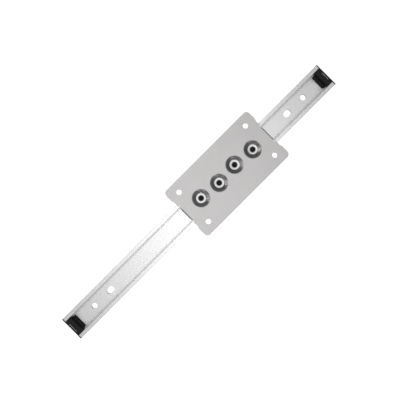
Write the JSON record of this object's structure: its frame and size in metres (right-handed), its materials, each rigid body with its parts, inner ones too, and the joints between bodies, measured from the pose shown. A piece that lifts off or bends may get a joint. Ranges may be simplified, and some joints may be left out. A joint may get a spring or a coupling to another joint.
{
  "type": "linear guide carriage",
  "caption": "Roller carriage on a light C-section guide rail: a flat mounting plate runs on crowned ball-bearing rollers between buffered end stops.",
  "frame": {"origin": "centre of the rail's back face", "axes": "+X along the rail, +Y across it, +Z out of the rail's open side towards the carriage plate"},
  "size_m": [0.3724, 0.0636, 0.0177],
  "materials": {
    "rail_aluminium": "satin clear-anodised extrusion, fine lines along its length",
    "stop_plastic": "black moulded plastic with a slight sheen",
    "buffer_rubber": "matte black rubber",
    "plate_steel": "zinc-plated sheet, fine satin grain",
    "screw_steel": "bright zinc-plated, turned head face",
    "spacer_steel": "plain turned steel",
    "bush_steel": "plain turned steel",
    "ring_steel": "ground and polished bearing steel",
    "ball_steel": "polished bearing steel",
    "cage_nylon": "natural moulded nylon",
    "seal_rubber": "moulded rubber"
  },
  "bodies": {
    "rail": {"guide_rail": "rail_aluminium", "end_stop_left": "stop_plastic", "end_stop_right": "stop_plastic", "buffer_left": "buffer_rubber", "buffer_right": "buffer_rubber"},
    "carriage": {"carriage_plate": "plate_steel", "roller_screws": "screw_steel", "spacer_1": "spacer_steel", "spacer_2": "spacer_steel", "spacer_3": "spacer_steel", "spacer_4": "spacer_steel", "axle_bush_1": "bush_steel", "axle_bush_2": "bush_steel", "axle_bush_3": "bush_steel", "axle_bush_4": "bush_steel", "inner_ring_1": "ring_steel", "inner_ring_2": "ring_steel", "inner_ring_3": "ring_steel", "inner_ring_4": "ring_steel"},
    "roller_1": {"outer_ring_1": "ring_steel", "upper_seal_1": "seal_rubber", "lower_seal_1": "seal_rubber"},
    "cage_1": {"ball_cage_1": "cage_nylon", "balls_1": "ball_steel"},
    "roller_2": {"outer_ring_2": "ring_steel", "upper_seal_2": "seal_rubber", "lower_seal_2": "seal_rubber"},
    "cage_2": {"ball_cage_2": "cage_nylon", "balls_2": "ball_steel"},
    "roller_3": {"outer_ring_3": "ring_steel", "upper_seal_3": "seal_rubber", "lower_seal_3": "seal_rubber"},
    "cage_3": {"ball_cage_3": "cage_nylon", "balls_3": "ball_steel"},
    "roller_4": {"outer_ring_4": "ring_steel", "upper_seal_4": "seal_rubber", "lower_seal_4": "seal_rubber"},
    "cage_4": {"ball_cage_4": "cage_nylon", "balls_4": "ball_steel"}
  },
  "joints": [
    {"name": "carriage_slide", "type": "slide", "parent": "rail", "child": "carriage", "axis": [1, 0, 0], "range_m": [-0.1577, 0.0767]},
    {"name": "roller_1_spin", "type": "hinge", "parent": "carriage", "child": "roller_1", "pos_m": [0.0042, 0.001, 0.007], "axis": [0, 0, 1], "range_deg": [-826, 403]},
    {"name": "cage_1_orbit", "type": "hinge", "parent": "carriage", "child": "cage_1", "pos_m": [0.0042, 0.001, 0.007], "axis": [0, 0, 1], "range_deg": [-510, 250]},
    {"name": "roller_2_spin", "type": "hinge", "parent": "carriage", "child": "roller_2", "pos_m": [0.0284, -0.001, 0.007], "axis": [0, 0, 1], "range_deg": [-403, 826]},
    {"name": "cage_2_orbit", "type": "hinge", "parent": "carriage", "child": "cage_2", "pos_m": [0.0284, -0.001, 0.007], "axis": [0, 0, 1], "range_deg": [-250, 510]},
    {"name": "roller_3_spin", "type": "hinge", "parent": "carriage", "child": "roller_3", "pos_m": [0.0526, 0.001, 0.007], "axis": [0, 0, 1], "range_deg": [-826, 403]},
    {"name": "cage_3_orbit", "type": "hinge", "parent": "carriage", "child": "cage_3", "pos_m": [0.0526, 0.001, 0.007], "axis": [0, 0, 1], "range_deg": [-510, 250]},
    {"name": "roller_4_spin", "type": "hinge", "parent": "carriage", "child": "roller_4", "pos_m": [0.0768, -0.001, 0.007], "axis": [0, 0, 1], "range_deg": [-403, 826]},
    {"name": "cage_4_orbit", "type": "hinge", "parent": "carriage", "child": "cage_4", "pos_m": [0.0768, -0.001, 0.007], "axis": [0, 0, 1], "range_deg": [-250, 510]}
  ],
  "couplings": [
    {"joint": "roller_1_spin", "follows": "carriage_slide", "rad_per_m": 90.992},
    {"joint": "cage_1_orbit", "follows": "carriage_slide", "rad_per_m": 56.112},
    {"joint": "roller_2_spin", "follows": "carriage_slide", "rad_per_m": -90.992},
    {"joint": "cage_2_orbit", "follows": "carriage_slide", "rad_per_m": -56.112},
    {"joint": "roller_3_spin", "follows": "carriage_slide", "rad_per_m": 90.992},
    {"joint": "cage_3_orbit", "follows": "carriage_slide", "rad_per_m": 56.112},
    {"joint": "roller_4_spin", "follows": "carriage_slide", "rad_per_m": -90.992},
    {"joint": "cage_4_orbit", "follows": "carriage_slide", "rad_per_m": -56.112}
  ]
}
